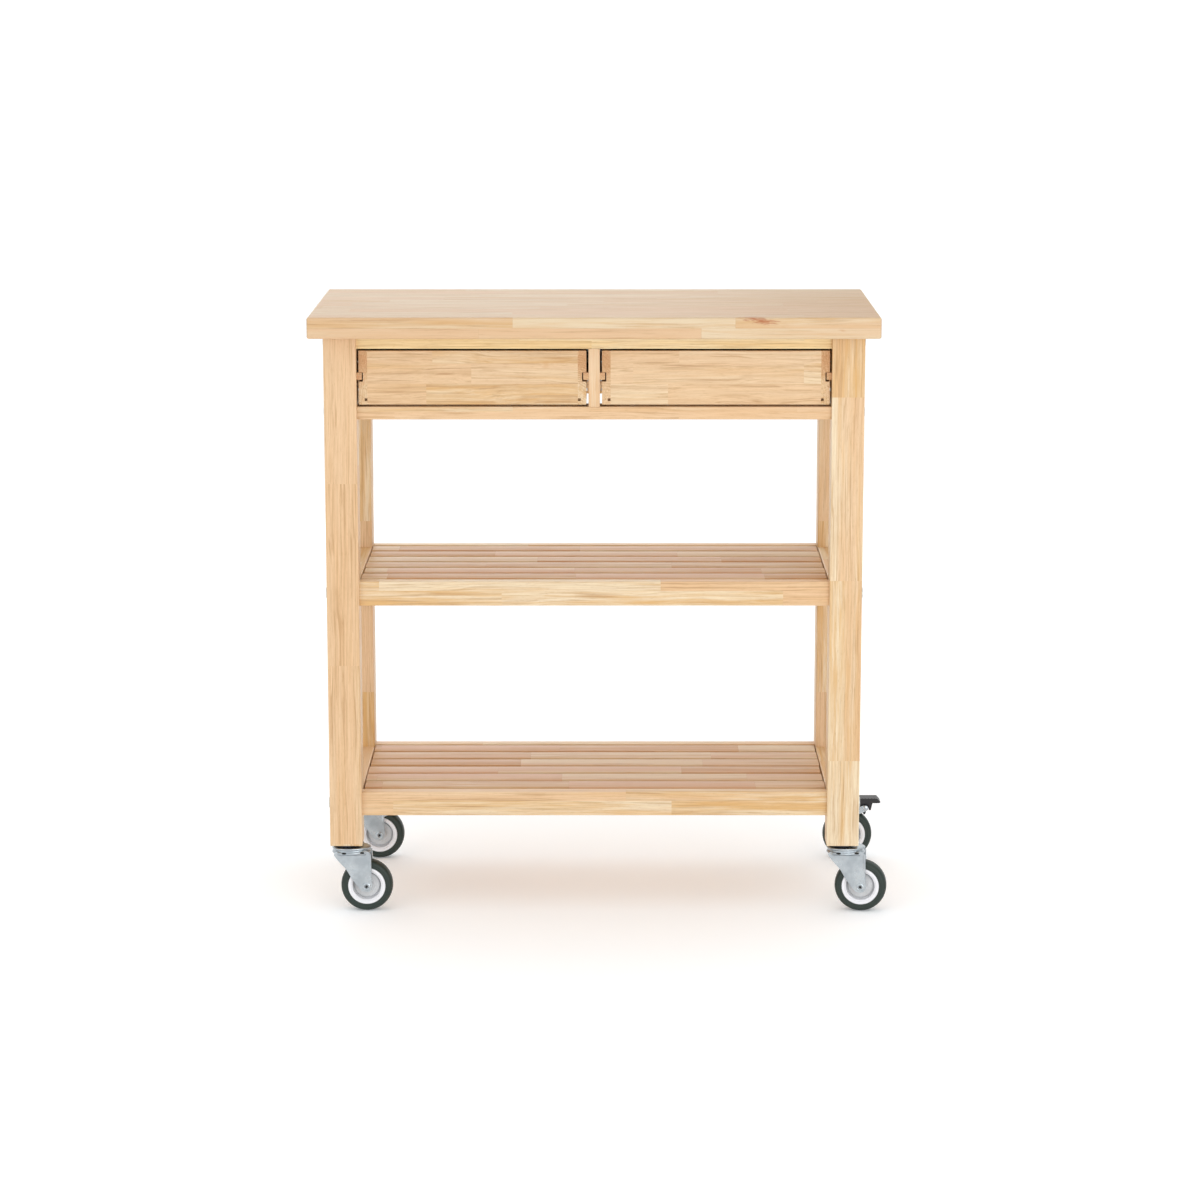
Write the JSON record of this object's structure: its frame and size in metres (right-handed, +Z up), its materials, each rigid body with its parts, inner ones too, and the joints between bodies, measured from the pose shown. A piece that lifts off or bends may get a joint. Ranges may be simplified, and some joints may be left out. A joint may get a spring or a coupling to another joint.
{
  "type": "kitchen trolley",
  "caption": "Wooden kitchen trolley with a laminated worktop, drawers under it, slatted shelves and swivel casters, some braked.",
  "frame": {"origin": "on the floor, midway between the four legs", "axes": "+Z up, X along the worktop, the drawers open towards +Y"},
  "size_m": [0.835, 0.4, 0.865],
  "materials": {
    "wood_worktop": "oiled, finger-jointed staves",
    "wood_frame": "satin lacquer, finger-jointed staves",
    "wood_drawer": "satin lacquer, finger-jointed staves",
    "wood_panel": "thin plywood",
    "bolt_steel": "zinc plated",
    "zinc_steel": "pressed, bright zinc plated",
    "rim_plastic": "moulded",
    "tyre_rubber": "grey rubber",
    "pedal_plastic": "moulded, black"
  },
  "bodies": {
    "frame": {"worktop": "wood_worktop", "leg_back_left": "wood_frame", "leg_back_right": "wood_frame", "leg_front_left": "wood_frame", "leg_front_right": "wood_frame", "rail_top_back": "wood_frame", "rail_top_front": "wood_frame", "rail_lower_back": "wood_frame", "rail_lower_front": "wood_frame", "apron_left": "wood_frame", "apron_right": "wood_frame", "divider_back": "wood_frame", "divider_front": "wood_frame", "centre_beam": "wood_frame", "drawer_runners": "wood_frame", "mid_shelf_rail_back": "wood_frame", "mid_shelf_rail_front": "wood_frame", "bottom_shelf_rail_back": "wood_frame", "bottom_shelf_rail_front": "wood_frame", "mid_shelf_end_rails": "wood_frame", "bottom_shelf_end_rails": "wood_frame", "mid_shelf_slats": "wood_frame", "bottom_shelf_slats": "wood_frame", "shelf_cleats": "wood_frame", "frame_bolts": "bolt_steel", "barrel_nuts": "bolt_steel", "wood_screws": "bolt_steel", "caster_mounts": "zinc_steel"},
    "drawer_left": {"drawer_left_front": "wood_drawer", "drawer_left_back": "wood_drawer", "drawer_left_side_outer": "wood_drawer", "drawer_left_side_inner": "wood_drawer", "drawer_left_bottom": "wood_panel", "drawer_left_knob": "wood_drawer", "drawer_left_screws": "bolt_steel"},
    "drawer_right": {"drawer_right_front": "wood_drawer", "drawer_right_back": "wood_drawer", "drawer_right_side_outer": "wood_drawer", "drawer_right_side_inner": "wood_drawer", "drawer_right_bottom": "wood_panel", "drawer_right_knob": "wood_drawer", "drawer_right_screws": "bolt_steel"},
    "caster_back_left_swivel": {"caster_back_left_fork": "zinc_steel", "caster_back_left_rivet": "zinc_steel"},
    "caster_back_left_roll": {"caster_back_left_wheel": "rim_plastic", "caster_back_left_tyre": "tyre_rubber"},
    "caster_back_right_swivel": {"caster_back_right_fork": "zinc_steel", "caster_back_right_rivet": "zinc_steel"},
    "caster_back_right_roll": {"caster_back_right_wheel": "rim_plastic", "caster_back_right_tyre": "tyre_rubber"},
    "caster_front_left_swivel": {"caster_front_left_fork": "zinc_steel", "caster_front_left_rivets": "zinc_steel"},
    "caster_front_left_roll": {"caster_front_left_wheel": "rim_plastic", "caster_front_left_tyre": "tyre_rubber"},
    "caster_front_left_pedal": {"caster_front_left_brake_pedal": "pedal_plastic"},
    "caster_front_right_swivel": {"caster_front_right_fork": "zinc_steel", "caster_front_right_rivets": "zinc_steel"},
    "caster_front_right_roll": {"caster_front_right_wheel": "rim_plastic", "caster_front_right_tyre": "tyre_rubber"},
    "caster_front_right_pedal": {"caster_front_right_brake_pedal": "pedal_plastic"}
  },
  "joints": [
    {"name": "drawer_left_slide", "type": "slide", "parent": "frame", "child": "drawer_left", "axis": [0, 1, 0], "range_m": [0, 0.24]},
    {"name": "drawer_right_slide", "type": "slide", "parent": "frame", "child": "drawer_right", "axis": [0, 1, 0], "range_m": [0, 0.24]},
    {"name": "caster_back_left_swivel_joint", "type": "hinge", "parent": "frame", "child": "caster_back_left_swivel", "pos_m": [-0.357, -0.147, 0.09], "axis": [0, 0, 1], "continuous": true},
    {"name": "caster_back_left_wheel_joint", "type": "hinge", "parent": "caster_back_left_swivel", "child": "caster_back_left_roll", "pos_m": [-0.329, -0.147, 0.0375], "axis": [0, 1, 0], "continuous": true},
    {"name": "caster_back_right_swivel_joint", "type": "hinge", "parent": "frame", "child": "caster_back_right_swivel", "pos_m": [0.357, -0.147, 0.09], "axis": [0, 0, 1], "continuous": true},
    {"name": "caster_back_right_wheel_joint", "type": "hinge", "parent": "caster_back_right_swivel", "child": "caster_back_right_roll", "pos_m": [0.38485, -0.14993, 0.0375], "axis": [0.1045, 0.9945, 0], "continuous": true},
    {"name": "caster_front_left_swivel_joint", "type": "hinge", "parent": "frame", "child": "caster_front_left_swivel", "pos_m": [-0.357, 0.147, 0.09], "axis": [0, 0, 1], "continuous": true},
    {"name": "caster_front_left_wheel_joint", "type": "hinge", "parent": "caster_front_left_swivel", "child": "caster_front_left_roll", "pos_m": [-0.329, 0.147, 0.0375], "axis": [0, 1, 0], "continuous": true},
    {"name": "caster_front_left_pedal_joint", "type": "hinge", "parent": "caster_front_left_swivel", "child": "caster_front_left_pedal", "pos_m": [-0.302, 0.147, 0.08], "axis": [0, 1, 0], "range_deg": [0, 20]},
    {"name": "caster_front_right_swivel_joint", "type": "hinge", "parent": "frame", "child": "caster_front_right_swivel", "pos_m": [0.357, 0.147, 0.09], "axis": [0, 0, 1], "continuous": true},
    {"name": "caster_front_right_wheel_joint", "type": "hinge", "parent": "caster_front_right_swivel", "child": "caster_front_right_roll", "pos_m": [0.385, 0.147, 0.0375], "axis": [0, 1, 0], "continuous": true},
    {"name": "caster_front_right_pedal_joint", "type": "hinge", "parent": "caster_front_right_swivel", "child": "caster_front_right_pedal", "pos_m": [0.412, 0.147, 0.08], "axis": [0, 1, 0], "range_deg": [0, 20]}
  ]
}
